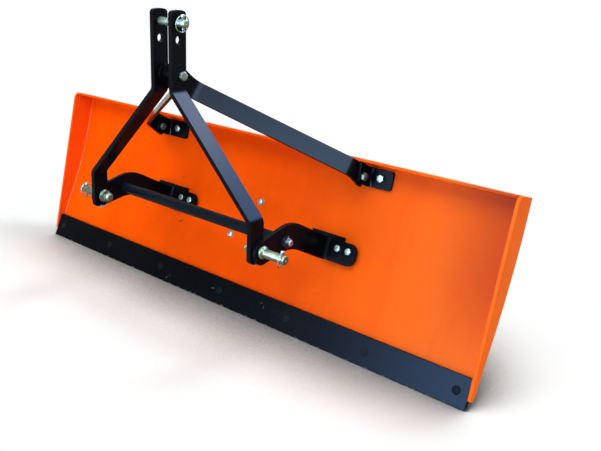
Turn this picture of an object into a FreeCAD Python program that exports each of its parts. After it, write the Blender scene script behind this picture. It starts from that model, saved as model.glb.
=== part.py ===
import FreeCAD, Part
import math
import os
import re
import Sketcher

# Land leveler for a three-point hitch: a curved moldboard between two end plates,
# carried by two bent flat bars, two struts and two arched lower arms.
# +X is to the right, +Y to the rear, +Z up, in millimetres; while it is drawn, Y = 0 is the
# middle of the bars and Z = 0 the floor under the cutting edge.

SIZES = {
    # blade
    "blade_width": 1600, "edge_front": 165, "lean": 25, "edge_height": 76, "edge_thick": 12,
    "sheet_thick": 6, "sheet_start": 24, "flat_end": 173, "curve_radius": 1350,
    "curve_turn": 14, "lip_depth": 66, "lip_rise": 4, "lip_radius": 6, "plate_thick": 8,
    "plate_low": 25, "plate_beyond": 3, "plate_corner": 18, "weld_gap": 0.2,
    # bent bars that make the mast and the legs
    "bar_thick": 12, "bar_width": 45, "mast_gap": 52, "mast_crown": 60, "mast_corner": 9,
    "tip_flat": 3.5, "bend_radius": 14,
    "leg_outside": 299, "leg_low": 262, "leg_length": 103, "bend_rise": 264,
    "mast_bolt_rise": 41, "link_room": 84, "hole_pitch": 39, "mast_end": 29,
    # hitch pins
    "pin_forward": 9, "pin_rise": 32, "pin_size": 22, "pin_stick": 72, "collar_size": 34,
    "collar_thick": 9, "nut_across": 30, "nut_thick": 17, "washer_size": 38, "washer_thick": 3,
    "pin_stub": 8, "top_pin_size": 19, "top_pin_stick": 26, "top_head_size": 30,
    "top_head_thick": 8, "hole_play": 1,
    "lynch_wire": 3.5, "lynch_size": 7, "lynch_setback": 12, "cut_margin": 5, "cut_turn": 2,
    # struts and the bolt they hang on
    "strut_width": 46, "strut_thick": 8, "strut_parallel": 57, "strut_tail": 44,
    "strut_bend": 40, "strut_fold": 22, "strut_corner": 7,
    "mast_bolt_back": 10, "mast_bolt_size": 14, "mast_head_across": 22, "mast_head_thick": 7,
    "mast_nut_thick": 13, "mast_bolt_stub": 5, "spacer_size": 26,
    # upper brackets
    "bracket_right": 380, "bracket_left": -378, "bracket_angle": 12.5, "bracket_height": 50,
    "bracket_thick": 8, "bracket_foot_right": 70, "bracket_foot_left": 82, "bracket_round": 9,
    "bracket_bolt": 41, "bracket_margin": 18, "bracket_tilt": 16,
    # lower arms, their feet and brackets
    "arm_thick": 10, "arm_width": 60, "arm_angle": 21.5, "arm_end_behind": 3, "arm_end_drop": 3,
    "arm_top_rise": 13, "arm_top_run": 116, "arm_low_rise": 10, "arm_low_run": 96,
    "arm_round": 110, "foot_right": 103, "foot_left": 118, "foot_bend": 10, "foot_round": 22,
    "seat_thick": 8, "seat_right": 106, "seat_left": 130, "seat_above": 10, "seat_short": 2,
    # cross tube between the arms
    "tube_size": 30, "tube_bore": 18, "tube_behind": 83, "tube_rise": 5, "rod_size": 16,
    "rod_nut_across": 27, "rod_nut_thick": 14, "rod_dome": 6,
    # stiffening at the back
    "rib_offset": 379, "rib_thick": 8, "rib_length": 220, "rib_top_angle": 12.5,
    "rib_top_flat": 26, "rib_heel_behind": 67, "rib_heel_rise": 40, "rail_size": 50,
    "rail_wall": 5, "rail_angle": 20, "rail_inset": 42, "channel_width": 120, "channel_depth": 42,
    "channel_wall": 6, "channel_top_angle": 12.5, "channel_low": 60,
}

# Sizes and places that follow from the ones above
DERIVED = {
    "lower_bend": "leg_low + leg_length",
    "upper_bend": "lower_bend + bend_rise",
    "mast_bolt_height": "upper_bend + mast_bolt_rise",
    "second_hole_height": "mast_bolt_height + link_room",
    "top_pin_height": "second_hole_height + hole_pitch",
    "mast_top": "top_pin_height + mast_end",
    "tip_crown": "bar_width / 2 + tip_flat",
    "pin_height": "leg_low + pin_rise",
    "pin_reach": "leg_outside + arm_thick + pin_stick",
    "top_pin_reach": "mast_gap / 2 + bar_thick + top_pin_stick",
    "arm_end_back": "pin_forward + arm_end_behind",
    "arm_end_height": "pin_height - arm_end_drop",
    "tube_back": "pin_forward + tube_behind",
    "tube_height": "pin_height + tube_rise",
    "bracket_stand": "bracket_bolt + bracket_margin",
    "bracket_lift": "bracket_height ^ 2 / (8 * curve_radius) + weld_gap",
    "seat_top": "arm_width / 2 + seat_above",
    "seat_low": "arm_width / 2 - seat_short",
    "seat_lift": "seat_top ^ 2 / (2 * curve_radius) + weld_gap",
    "rib_heel": "edge_front + rib_heel_behind",
    "rib_back": "edge_front + rib_length",
    "back_radius": "curve_radius + sheet_thick",
    "lip_turn": "curve_turn - lip_rise",
    "lip_heel": "sheet_thick * (1 - sin(lip_rise)) / cos(lip_rise)",
    "curve_y": "edge_front + (edge_thick - curve_radius) * cos(lean) + flat_end * sin(lean)",
    "curve_z": "(curve_radius - edge_thick) * sin(lean) + flat_end * cos(lean)",
}

doc = FreeCAD.newDocument("LandLeveler")
sheet = doc.addObject("Spreadsheet::Sheet", "Sizes")
cells = dict(SIZES)
cells.update({word: f"={rule}" for word, rule in DERIVED.items()})
for row, (word, content) in enumerate(cells.items(), start=1):
    sheet.set(f"A{row}", word)
    sheet.set(f"B{row}", str(content))
    sheet.setAlias(f"B{row}", word)
doc.recompute()

WORDS = re.compile(r"\b(" + "|".join(sorted(cells, key=len, reverse=True)) + r")\b")


def bound(text):
    """Write an expression's plain words as references to the sheet."""
    return WORDS.sub(r"Sizes.\1", text)


def value(text):
    number = sheet.evalExpression(bound(text))
    return float(getattr(number, "Value", number))


def front_at(angle, lift="0"):
    """Y and Z at a lift before the moldboard's front, where it leans back by this angle."""
    return (f"(curve_y + (curve_radius - {lift}) * cos({angle}))",
            f"(curve_z - (curve_radius - {lift}) * sin({angle}))")


def back_at(angle):
    return (f"(curve_y + back_radius * cos({angle}))", f"(curve_z - back_radius * sin({angle}))")


def leaned(point, origin, angle):
    """Turn a point given in Y and Z into the frame of a body that leans back at origin."""
    along, up = (f"(({p}) - ({o}))" for p, o in zip(point, origin))
    return (f"({along} * cos({angle}) - {up} * sin({angle}))",
            f"({along} * sin({angle}) + {up} * cos({angle}))")


def place(thing, x="0", y="0", z="0", lean=None):
    """Bind a placement to the sheet; lean is backwards about X."""
    turn = f"-({lean})" if lean else "0"
    thing.Placement = FreeCAD.Placement(FreeCAD.Vector(value(x), value(y), value(z)),
                                        FreeCAD.Rotation(FreeCAD.Vector(1, 0, 0), value(turn)))
    for letter, text in zip("xyz", (x, y, z)):
        thing.setExpression(f"Placement.Base.{letter}", bound(text))
    if lean:
        thing.setExpression("Placement.Rotation.Angle", bound(turn))


def new_body(name):
    body = doc.addObject("PartDesign::Body", name)
    body.Label = name
    return body


def new_sketch(body, name, role, offset="0"):
    sketch = body.newObject("Sketcher::SketchObject", name)
    plane = next(f for f in body.Origin.OriginFeatures if f.Role == role)
    sketch.AttachmentSupport = [(plane, "")]
    sketch.MapMode = "FlatFace"
    if offset != "0":
        sketch.AttachmentOffset = FreeCAD.Placement(FreeCAD.Vector(0, 0, value(offset)),
                                                    FreeCAD.Rotation())
        sketch.setExpression("AttachmentOffset.Base.z", bound(offset))
    return sketch


def hold(sketch, geometry, spot, across, up):
    """Fix one point of a sketch by two bound distances from its origin."""
    for kind, text in (("DistanceX", across), ("DistanceY", up)):
        index = sketch.addConstraint(Sketcher.Constraint(kind, geometry, spot, value(text)))
        sketch.setExpression(f"Constraints[{index}]", bound(text))


def outline(sketch, corners, arcs=None):
    """Closed outline through corners; arcs[i] = (radius, side) bends the edge after corner i.

    A half round end gives its centre's distance across as a third value, which holds it.
    """
    arcs = arcs or {}
    points = [FreeCAD.Vector(value(a), value(b), 0) for a, b in corners]
    first = sketch.GeometryCount
    total = len(points)
    ends = {}
    for i, start in enumerate(points):
        end = points[(i + 1) % total]
        if i not in arcs:
            sketch.addGeometry(Part.LineSegment(start, end))
            ends[i] = (1, 2)
            continue
        radius, side = value(arcs[i][0]), arcs[i][1]
        chord = end - start
        square = FreeCAD.Vector(-chord.y, chord.x, 0).normalize() * side
        reach = math.sqrt(max(radius ** 2 - (chord.Length / 2) ** 2, 0.0))
        centre = (start + end) / 2 + square * reach
        middle = centre - square * radius
        sketch.addGeometry(Part.Arc(start, middle, end))
        near = (sketch.getPoint(first + i, 1) - start).Length < 1e-6
        ends[i] = (1, 2) if near else (2, 1)
    for i in range(total):
        nxt = (i + 1) % total
        sketch.addConstraint(Sketcher.Constraint("Coincident", first + i, ends[i][1],
                                                 first + nxt, ends[nxt][0]))
        hold(sketch, first + i, ends[i][0], *corners[i])
        if i in arcs and len(arcs[i]) == 3:
            rule, text = ("DistanceX", first + i, 3), arcs[i][2]
        elif i in arcs:
            rule, text = ("Radius", first + i), arcs[i][0]
        else:
            continue
        index = sketch.addConstraint(Sketcher.Constraint(*rule, value(text)))
        sketch.setExpression(f"Constraints[{index}]", bound(text))


def circle(sketch, across, up, radius):
    index = sketch.addGeometry(Part.Circle(FreeCAD.Vector(value(across), value(up), 0),
                                           FreeCAD.Vector(0, 0, 1), value(radius)))
    hold(sketch, index, 3, across, up)
    size = sketch.addConstraint(Sketcher.Constraint("Radius", index, value(radius)))
    sketch.setExpression(f"Constraints[{size}]", bound(radius))


def hexagon(sketch, across_flats, across="0", up="0"):
    corners = []
    for k in range(6):
        reach = f"({across_flats}) / (2 * cos(30))"
        corners.append((f"{across} + {reach} * sin({60 * k + 30})",
                        f"{up} + {reach} * cos({60 * k + 30})"))
    outline(sketch, corners)


def pad(body, sketch, length, midplane=False, backwards=False):
    feature = body.newObject("PartDesign::Pad", sketch.Name + "Pad")
    feature.Profile = sketch
    feature.Length = value(length)
    feature.setExpression("Length", bound(length))
    feature.Midplane = midplane
    feature.Reversed = backwards
    sketch.Visibility = False
    return feature


def pocket(body, sketch, length="2 * blade_width"):
    """Cut the sketch away on both sides of its plane."""
    doc.recompute()
    before = body.Shape.Volume
    feature = body.newObject("PartDesign::Pocket", sketch.Name + "Pocket")
    feature.Profile = sketch
    feature.Length = value(length)
    feature.setExpression("Length", bound(length))
    feature.Midplane = True
    doc.recompute()
    if body.Shape.Volume > before - 1e-3:
        raise RuntimeError(f"{feature.Name} cut nothing")
    return feature


def round_edges(body, name, picks, radius):
    """Fillet the edges whose midpoints lie nearest to the picked places, in body's own frame."""
    doc.recompute()
    base = body.Tip
    names = []
    for pick in picks:
        spot = FreeCAD.Vector(*(value(p) for p in pick))
        order = sorted(range(len(base.Shape.Edges)),
                       key=lambda k: (middle_of(base.Shape.Edges[k]) - spot).Length)
        names.append(f"Edge{order[0] + 1}")
    feature = body.newObject("PartDesign::Fillet", name)
    feature.Base = (base, names)
    feature.Radius = value(radius)
    feature.setExpression("Radius", bound(radius))
    return feature


def middle_of(edge):
    return edge.valueAt((edge.FirstParameter + edge.LastParameter) / 2)


# Moldboard: a flat lower run, the curve above it and a lip bent forwards, in the blade's frame
def make_moldboard():
    body = new_body("moldboard")
    turn = "curve_turn"
    centre = "(edge_thick - curve_radius)"
    root = (f"{centre} + curve_radius * cos({turn})", f"flat_end + curve_radius * sin({turn})")
    rear = (f"{centre} + back_radius * cos({turn})", f"flat_end + back_radius * sin({turn})")
    tip = (f"{root[0]} - lip_depth * cos(lip_turn)", f"{root[1]} - lip_depth * sin(lip_turn)")
    corners = [
        ("edge_thick", "sheet_start"), ("edge_thick", "flat_end"), root, tip,
        (f"{tip[0]} - sheet_thick * sin(lip_turn)", f"{tip[1]} + sheet_thick * cos(lip_turn)"),
        (f"{rear[0]} - lip_heel * sin({turn})", f"{rear[1]} + lip_heel * cos({turn})"), rear,
        ("edge_thick + sheet_thick", "flat_end"), ("edge_thick + sheet_thick", "sheet_start"),
    ]
    sketch = new_sketch(body, "MoldboardSide", "YZ_Plane")
    outline(sketch, corners, {1: ("curve_radius", 1), 6: ("back_radius", -1)})
    pad(body, sketch, "blade_width - 2 * plate_thick", midplane=True)
    round_edges(body, "LipInside", [("0", *corners[2])], "lip_radius")
    round_edges(body, "LipOutside", [("0", *corners[5])], "lip_radius + sheet_thick")
    place(body, y="edge_front", lean="lean")
    return body


# End plate: straight in front, following the back of the moldboard behind
def make_end_plate(name, side):
    body = new_body(name)
    turn = "curve_turn"
    centre = "(edge_thick - curve_radius)"
    rear = (f"{centre} + back_radius * cos({turn}) - lip_heel * sin({turn})",
            f"flat_end + back_radius * sin({turn}) + lip_heel * cos({turn})")
    reach = "(lip_depth + sheet_thick + plate_beyond)"
    corners = [
        ("0", "plate_low"), ("edge_thick + sheet_thick", "plate_low"),
        ("edge_thick + sheet_thick", "flat_end"),
        (f"{centre} + back_radius * cos({turn})", f"flat_end + back_radius * sin({turn})"), rear,
        (f"{rear[0]} - {reach} * cos(lip_turn)", f"{rear[1]} - {reach} * sin(lip_turn)"),
    ]
    sketch = new_sketch(body, name + "_side", "YZ_Plane")
    outline(sketch, corners, {2: ("back_radius", 1)})
    pad(body, sketch, "plate_thick", midplane=True)
    round_edges(body, name + "_corner", [("0", *corners[5])], "plate_corner")
    place(body, x=f"{side} * (blade_width - plate_thick) / 2", y="edge_front", lean="lean")
    return body


def make_cutting_edge():
    body = new_body("cutting_edge")
    sketch = new_sketch(body, "EdgeSide", "YZ_Plane")
    outline(sketch, [("0", "0"), ("edge_thick", "edge_thick * tan(lean)"),
                     ("edge_thick", "edge_height"), ("0", "edge_height")])
    pad(body, sketch, "blade_width - 2 * plate_thick", midplane=True)
    place(body, y="edge_front", lean="lean")
    return body


# Bent flat bar: mast plate, diagonal and leg in one piece, with its rounded ends and holes
def make_bar(name, side):
    body = new_body(name)
    inside = "mast_gap / 2"
    slant = f"(leg_outside - bar_thick - {inside}) / (upper_bend - lower_bend)"
    half = f"atan({slant}) / 2"
    path = [(inside, "mast_top"), (inside, "upper_bend"), ("leg_outside - bar_thick", "lower_bend"),
            ("leg_outside - bar_thick", "leg_low")]
    shift = f"bar_thick * tan({half})"
    outer = [("leg_outside", "leg_low"), ("leg_outside", f"lower_bend + {shift}"),
             (f"{inside} + bar_thick", f"upper_bend + {shift}"),
             (f"{inside} + bar_thick", "mast_top")]
    sketch = new_sketch(body, name + "_front", "XZ_Plane")
    mirrored = [(f"{side} * ({a})", b) for a, b in path + outer]
    outline(sketch, mirrored)
    pad(body, sketch, "bar_width", midplane=True)
    bends = [mirrored[1], mirrored[6], mirrored[2], mirrored[5]]
    for k, (a, b) in enumerate(bends):
        wide = "bend_radius + bar_thick" if k in (0, 3) else "bend_radius"
        round_edges(body, f"{name}_bend{k}", [(a, "0", b)], wide)
    ends = new_sketch(body, name + "_ends", "YZ_Plane")
    crown, tip = (f"({r} - sqrt({r} ^ 2 - bar_width ^ 2 / 4))" for r in ("mast_crown", "tip_crown"))
    above, below = "mast_top + cut_margin", "leg_low - cut_margin"
    half, wide = "bar_width / 2", "bar_width / 2 + cut_margin"
    outline(ends, [(f"-{half}", f"mast_top - {crown}"), (f"-({wide})", above), (wide, above),
                   (half, f"mast_top - {crown}")], {3: ("mast_crown", 1)})
    outline(ends, [(f"-{half}", f"leg_low + {tip}"), (f"-({wide})", below), (wide, below),
                   (half, f"leg_low + {tip}")], {3: ("tip_crown", -1)})
    pocket(body, ends)
    corners = [(f"{side} * ({inside} + bar_thick / 2)", f"{end} * {half}", f"mast_top - {crown}")
               for end in (1, -1)]
    round_edges(body, name + "_crown", corners, "mast_corner")
    holes = new_sketch(body, name + "_holes", "YZ_Plane")
    for height in ("top_pin_height", "second_hole_height"):
        circle(holes, "0", height, "(top_pin_size + hole_play) / 2")
    circle(holes, "mast_bolt_back", "mast_bolt_height", "(mast_bolt_size + hole_play) / 2")
    circle(holes, "pin_forward", "pin_height", "(pin_size + hole_play) / 2")
    pocket(body, holes)
    place(body)
    return body


# Strut: a flat bar whose two ends stay fore and aft, drawn on the slope between its bolts
def make_strut(name, side, foot_x):
    body = new_body(name)
    top = "(mast_gap / 2)" if side > 0 else "(-mast_gap / 2 + strut_thick)"
    across = f"({foot_x} - bracket_thick / 2 - {top})"
    seat = leaned(("-bracket_bolt", "0"), ("0", "0"), "-bracket_angle")
    sole = front_at("bracket_angle", "bracket_lift")
    depth = f"({sole[0]} + {seat[0]} - mast_bolt_back)"
    rise = f"(mast_bolt_height - {sole[1]} - {seat[1]})"
    slope = f"atan({rise} / {depth})"
    run = f"sqrt({rise} ^ 2 + {depth} ^ 2)"
    start = "strut_parallel"
    stop = f"({run} - strut_tail)"
    turn = f"atan(abs({across}) / ({stop} - {start}))"
    shift = f"(strut_thick * tan({turn} / 2) * {side})"
    path = [("0", "-strut_width / 2"), ("0", start), (across, stop),
            (across, f"{run} + strut_width / 2")]
    back = [(f"{a} - strut_thick", b) for a, b in reversed(path)]
    back[1] = (back[1][0], f"{back[1][1]} + {shift}")
    back[2] = (back[2][0], f"{back[2][1]} + {shift}")
    sketch = new_sketch(body, name + "_plan", "XY_Plane")
    corners = path + back
    outline(sketch, corners)
    pad(body, sketch, "strut_width", midplane=True)
    for k, corner in enumerate((corners[1], corners[6], corners[2], corners[5])):
        bend = "strut_bend" if k < 2 else "strut_fold"
        outside = (k in (0, 3)) == (side < 0)
        wide = f"{bend} + strut_thick" if outside else bend
        round_edges(body, f"{name}_bend{k}", [(*corner, "0")], wide)
    ends = new_sketch(body, name + "_ends", "YZ_Plane")
    half, wide = "strut_width / 2", "(strut_width / 2 + cut_margin)"
    outline(ends, [("0", half), (f"-{wide}", wide), (f"-{wide}", f"-{wide}"), ("0", f"-{half}")],
            {3: (half, -1, "0")})
    pocket(body, ends)
    corners = [(f"{across} - strut_thick / 2", f"{run} + {half}", f"{end} * {half}")
               for end in (1, -1)]
    round_edges(body, name + "_foot", corners, "strut_corner")
    holes = new_sketch(body, name + "_holes", "YZ_Plane")
    for along in ("0", run):
        circle(holes, along, "0", "(mast_bolt_size + hole_play) / 2")
    pocket(body, holes)
    place(body, x=top, y="mast_bolt_back", z="mast_bolt_height", lean=slope)
    return body


# Upper bracket: a folded plate whose foot lies on the moldboard and whose leg stands out and
# rises to the strut
def make_upper_bracket(name, centre, foot):
    body = new_body(name)
    plan = new_sketch(body, name + "_plan", "XY_Plane")
    thick, stand = "bracket_thick", "bracket_stand"
    outline(plan, [(f"-{thick} / 2", "0"), (f"-{thick} / 2", f"-{stand}"),
                   (f"{thick} / 2", f"-{stand}"), (f"{thick} / 2", f"-{thick}"),
                   (foot, f"-{thick}"), (foot, "0")])
    pad(body, plan, "2 * bracket_height", midplane=True)
    round_edges(body, name + "_root", [(f"{thick} / 2", f"-{thick}", "0")], thick)
    side = new_sketch(body, name + "_side", "YZ_Plane")
    far = f"({stand} + cut_margin)"
    rise = f"({far} - 2 * {thick}) * tan(bracket_tilt)"
    for end in (1, -1):
        edge, beyond = f"{end} * bracket_height / 2", f"{end} * (bracket_height + cut_margin)"
        outline(side, [("cut_margin", edge), (f"-2 * {thick}", edge),
                       (f"-{far}", f"{edge} + {rise}"), (f"-{far}", beyond),
                       ("cut_margin", beyond)])
    pocket(body, side)
    ends = [(foot, f"-{thick} / 2", f"{end} * bracket_height / 2") for end in (1, -1)]
    round_edges(body, name + "_end", ends, "min(bracket_round, bracket_height / 2 - weld_gap)")
    hole = new_sketch(body, name + "_hole", "YZ_Plane")
    circle(hole, "-bracket_bolt", "0", "(mast_bolt_size + hole_play) / 2")
    pocket(body, hole, f"2 * {thick}")
    y, z = front_at("bracket_angle", "bracket_lift")
    place(body, x=centre, y=y, z=z, lean="bracket_angle")
    return body


# Lower arm: an arched plate beside the leg, folded at its end into a foot on the moldboard
def make_lower_arm(name, side, length):
    body = new_body(name)
    origin = front_at("arm_angle", "seat_lift")
    half = "arm_width / 2"
    centre = ("arm_end_back", "arm_end_height")
    upper = (f"{centre[0]} - {half} * sin(arm_top_rise)", f"{centre[1]} + {half} * cos(arm_top_rise)")
    lower = (f"{centre[0]} + {half} * sin(arm_low_rise)", f"{centre[1]} - {half} * cos(arm_low_rise)")
    crest = (f"{upper[0]} + arm_top_run * cos(arm_top_rise)",
             f"{upper[1]} + arm_top_run * sin(arm_top_rise)")
    hollow = (f"{lower[0]} + arm_low_run * cos(arm_low_rise)",
              f"{lower[1]} + arm_low_run * sin(arm_low_rise)")
    turned = [leaned(p, origin, "arm_angle") for p in (lower, hollow, crest, upper)]
    fold = "-(seat_thick + arm_thick + foot_bend)"
    sketch = new_sketch(body, name + "_side", "YZ_Plane")
    corners = [turned[0], turned[1], (fold, f"-{half}"), (fold, half), turned[2], turned[3]]
    middle = leaned(centre, origin, "arm_angle")[0]
    outline(sketch, corners, {5: (half, 1, middle)})
    pad(body, sketch, "arm_thick")
    for k in (1, 4):
        round_edges(body, f"{name}_arch{k}", [("0", *corners[k]), ("arm_thick", *corners[k])],
                    "arm_round")
    foot = new_sketch(body, name + "_fold", "XY_Plane")
    thick, seat = "arm_thick", "-seat_thick"
    outline(foot, [("0", fold), (f"{thick}", fold), (f"{thick} + foot_bend", f"{seat} - {thick}"),
                   (length, f"{seat} - {thick}"), (length, seat),
                   (f"{thick} + foot_bend", seat)],
            {1: ("foot_bend", -1), 5: (f"foot_bend + {thick}", 1)})
    pad(body, foot, "arm_width", midplane=True)
    ends = [(length, f"{seat} - {thick} / 2", f"{end} * {half}") for end in (1, -1)]
    round_edges(body, name + "_toe", ends, "min(foot_round, arm_width / 2 - weld_gap)")
    holes = new_sketch(body, name + "_holes", "YZ_Plane")
    pin = leaned(("pin_forward", "pin_height"), origin, "arm_angle")
    rod = leaned(("tube_back", "tube_height"), origin, "arm_angle")
    circle(holes, *pin, "(pin_size + hole_play) / 2")
    circle(holes, *rod, "(rod_size + hole_play) / 2")
    pocket(body, holes, "4 * arm_thick")
    x = "leg_outside" if side > 0 else "-leg_outside - arm_thick"
    place(body, x=x, y=origin[0], z=origin[1], lean="arm_angle")
    return body


# Seat plate under an arm's foot, welded to the moldboard
def make_lower_bracket(name, side, width):
    body = new_body(name)
    sketch = new_sketch(body, name + "_face", "XZ_Plane")
    outline(sketch, [(f"-{width} / 2", "-seat_low"), (f"{width} / 2", "-seat_low"),
                     (f"{width} / 2", "seat_top"), (f"-{width} / 2", "seat_top")])
    pad(body, sketch, "seat_thick")
    x = "leg_outside" if side > 0 else "-leg_outside - arm_thick"
    y, z = front_at("arm_angle", "seat_lift")
    place(body, x=x, y=y, z=z, lean="arm_angle")
    return body


# Round pieces along X, from short tables of start, end and size; cross is a hole from above
def make_turned(name, steps, y, z, bore=None, hexes=(), mirror=1, cross=None):
    body = new_body(name)
    for k, (start, end, size) in enumerate(steps):
        low = start if mirror > 0 else f"-({end})"
        sketch = new_sketch(body, f"{name}_step{k}", "YZ_Plane", low)
        circle(sketch, "0", "0", f"({size}) / 2")
        pad(body, sketch, f"({end}) - ({start})")
    for k, (start, end, flats) in enumerate(hexes):
        low = start if mirror > 0 else f"-({end})"
        sketch = new_sketch(body, f"{name}_hex{k}", "YZ_Plane", low)
        hexagon(sketch, flats)
        pad(body, sketch, f"({end}) - ({start})")
    if bore:
        sketch = new_sketch(body, name + "_bore", "YZ_Plane")
        circle(sketch, "0", "0", f"({bore}) / 2")
        pocket(body, sketch)
    if cross:
        sketch = new_sketch(body, name + "_cross", "XY_Plane")
        circle(sketch, f"{mirror} * ({cross})", "0", "(lynch_size + hole_play) / 2")
        pocket(body, sketch)
    place(body, y=y, z=z)
    return body


def make_lower_pin(name, side):
    outer = "leg_outside + arm_thick"
    inner = "leg_outside - bar_thick"
    end = f"{inner} - washer_thick - nut_thick - pin_stub"
    return make_turned(name, [(end, "pin_reach", "pin_size"),
                              (outer, f"{outer} + collar_thick", "collar_size")],
                       "pin_forward", "pin_height", mirror=side,
                       cross="pin_reach - lynch_setback")


def make_lower_nut(name, side):
    inner = "leg_outside - bar_thick"
    return make_turned(name, [(f"{inner} - washer_thick", inner, "washer_size")],
                       "pin_forward", "pin_height", bore="pin_size + hole_play",
                       hexes=[(f"{inner} - washer_thick - nut_thick", f"{inner} - washer_thick",
                               "nut_across")], mirror=side)


# Lynch pin: a straight pin through the shank and a ring of wire turned about the shank
def make_lynch(name, x, y, z, shank):
    body = new_body(name)
    ring = f"(({shank} + lynch_size + 3 * lynch_wire) / 2)"
    stem = new_sketch(body, name + "_stem", "XY_Plane")
    circle(stem, "0", "0", "lynch_size / 2")
    pad(body, stem, f"2 * {ring} + lynch_size", midplane=True)
    wire = new_sketch(body, name + "_wire", "XZ_Plane")
    hexagon(wire, "lynch_wire", up=ring)
    turned = body.newObject("PartDesign::Revolution", name + "_ring")
    turned.Profile = wire
    turned.ReferenceAxis = (wire, ["H_Axis"])
    turned.Angle = 360
    wire.Visibility = False
    place(body, x=x, y=y, z=z)
    return body


# Rear rib: its front follows the back of the moldboard, its heel stands on the floor
def make_rib(name, side):
    body = new_body(name)
    top = back_at("rib_top_angle")
    low = back_at("lean")
    foot = (f"{low[0]} - (flat_end - sheet_start - rib_heel_rise) * sin(lean)",
            f"{low[1]} - (flat_end - sheet_start - rib_heel_rise) * cos(lean)")
    sketch = new_sketch(body, name + "_side", "YZ_Plane")
    outline(sketch, [("rib_heel", "0"), ("rib_back", "0"), ("rib_back", f"{top[1]} - rib_top_flat"),
                     top, low, foot], {3: ("back_radius", -1)})
    pad(body, sketch, "rib_thick", midplane=True)
    place(body, x=f"{side} * rib_offset")
    return body


# Centre channel behind the moldboard, open towards it
def make_channel():
    body = new_body("rear_channel")
    top = back_at("channel_top_angle")
    low = back_at("lean")
    back = f"(back_radius + channel_depth)"
    end = (f"{low[0]} - channel_low * sin(lean)", f"{low[1]} - channel_low * cos(lean)")
    out = ("channel_depth * cos(lean)", "channel_depth * sin(lean)")
    corners = [end, (f"{end[0]} + {out[0]}", f"{end[1]} - {out[1]}"),
               (f"{low[0]} + {out[0]}", f"{low[1]} - {out[1]}"),
               (f"curve_y + {back} * cos(channel_top_angle)",
                f"curve_z - {back} * sin(channel_top_angle)"), top, low]
    sketch = new_sketch(body, "ChannelSide", "YZ_Plane")
    outline(sketch, corners, {2: (back, 1), 4: ("back_radius", -1)})
    pad(body, sketch, "channel_width", midplane=True)
    inner = f"(back_radius + channel_depth - channel_wall)"
    depth = "(channel_depth - channel_wall)"
    deep = (f"{depth} * cos(lean)", f"{depth} * sin(lean)")
    hollow = new_sketch(body, "ChannelHollow", "YZ_Plane")
    start = (f"{end[0]} - cut_margin * sin(lean)", f"{end[1]} - cut_margin * cos(lean)")
    near = "curve_radius"
    past = "(channel_top_angle - cut_turn)"
    outline(hollow, [
        (f"{start[0]} - sheet_thick * cos(lean)", f"{start[1]} + sheet_thick * sin(lean)"),
        (f"{start[0]} + {deep[0]}", f"{start[1]} - {deep[1]}"),
        (f"{low[0]} + {deep[0]}", f"{low[1]} - {deep[1]}"),
        (f"curve_y + {inner} * cos({past})", f"curve_z - {inner} * sin({past})"),
        (f"curve_y + {near} * cos({past})", f"curve_z - {near} * sin({past})"),
        (f"{low[0]} - sheet_thick * cos(lean)", f"{low[1]} + sheet_thick * sin(lean)"),
    ], {2: (inner, 1), 4: (near, -1)})
    pocket(body, hollow, "channel_width - 2 * channel_wall")
    place(body)
    return body


# Rear rails: a square tube in four lengths between channel, ribs and end plates
def make_rails():
    shapes = []
    y, z = (value(t) for t in back_at("rail_angle"))
    size, wall = value("rail_size"), value("rail_wall")
    stops = [("channel_width / 2", "rib_offset - rib_thick / 2"),
             ("rib_offset + rib_thick / 2", "blade_width / 2 - plate_thick - rail_inset")]
    for side in (1, -1):
        for near, far in stops:
            low, high = sorted((side * value(near), side * value(far)))
            outer = Part.makeBox(high - low, size, size, FreeCAD.Vector(low, 0, -size / 2))
            inner = Part.makeBox(high - low, size - 2 * wall, size - 2 * wall,
                                 FreeCAD.Vector(low, wall, wall - size / 2))
            shapes.append(outer.cut(inner))
    rails = doc.addObject("Part::Feature", "rear_rails")
    rails.Shape = Part.makeCompound(shapes)
    rails.Label = "rear_rails"
    rails.Placement = FreeCAD.Placement(FreeCAD.Vector(0, y, z),
                                        FreeCAD.Rotation(FreeCAD.Vector(1, 0, 0),
                                                         -value("rail_angle")))
    return rails


PARTS = [make_moldboard(), make_cutting_edge(), make_channel(), make_rails()]
PAIRS = {"lower_pins": [], "lower_pin_nuts": [], "lynch_pins": []}
for word, side in (("left", -1), ("right", 1)):
    bracket = f"bracket_{word}"
    PARTS.append(make_end_plate(f"end_plate_{word}", side))
    PARTS.append(make_bar(f"frame_bar_{word}", side))
    PARTS.append(make_strut(f"strut_{word}", side, bracket))
    PARTS.append(make_upper_bracket(f"upper_bracket_{word}", bracket, f"bracket_foot_{word}"))
    PARTS.append(make_lower_arm(f"lower_arm_{word}", side, f"foot_{word}"))
    PARTS.append(make_lower_bracket(f"lower_bracket_{word}", side, f"seat_{word}"))
    PARTS.append(make_rib(f"rear_rib_{word}", side))
    PAIRS["lower_pins"].append(make_lower_pin(f"lower_pin_{word}", side))
    PAIRS["lower_pin_nuts"].append(make_lower_nut(f"lower_pin_nut_{word}", side))
    PAIRS["lynch_pins"].append(make_lynch(f"lower_lynch_{word}",
                                          f"{side} * (pin_reach - lynch_setback)",
                                          "pin_forward", "pin_height", "pin_size"))

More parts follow.
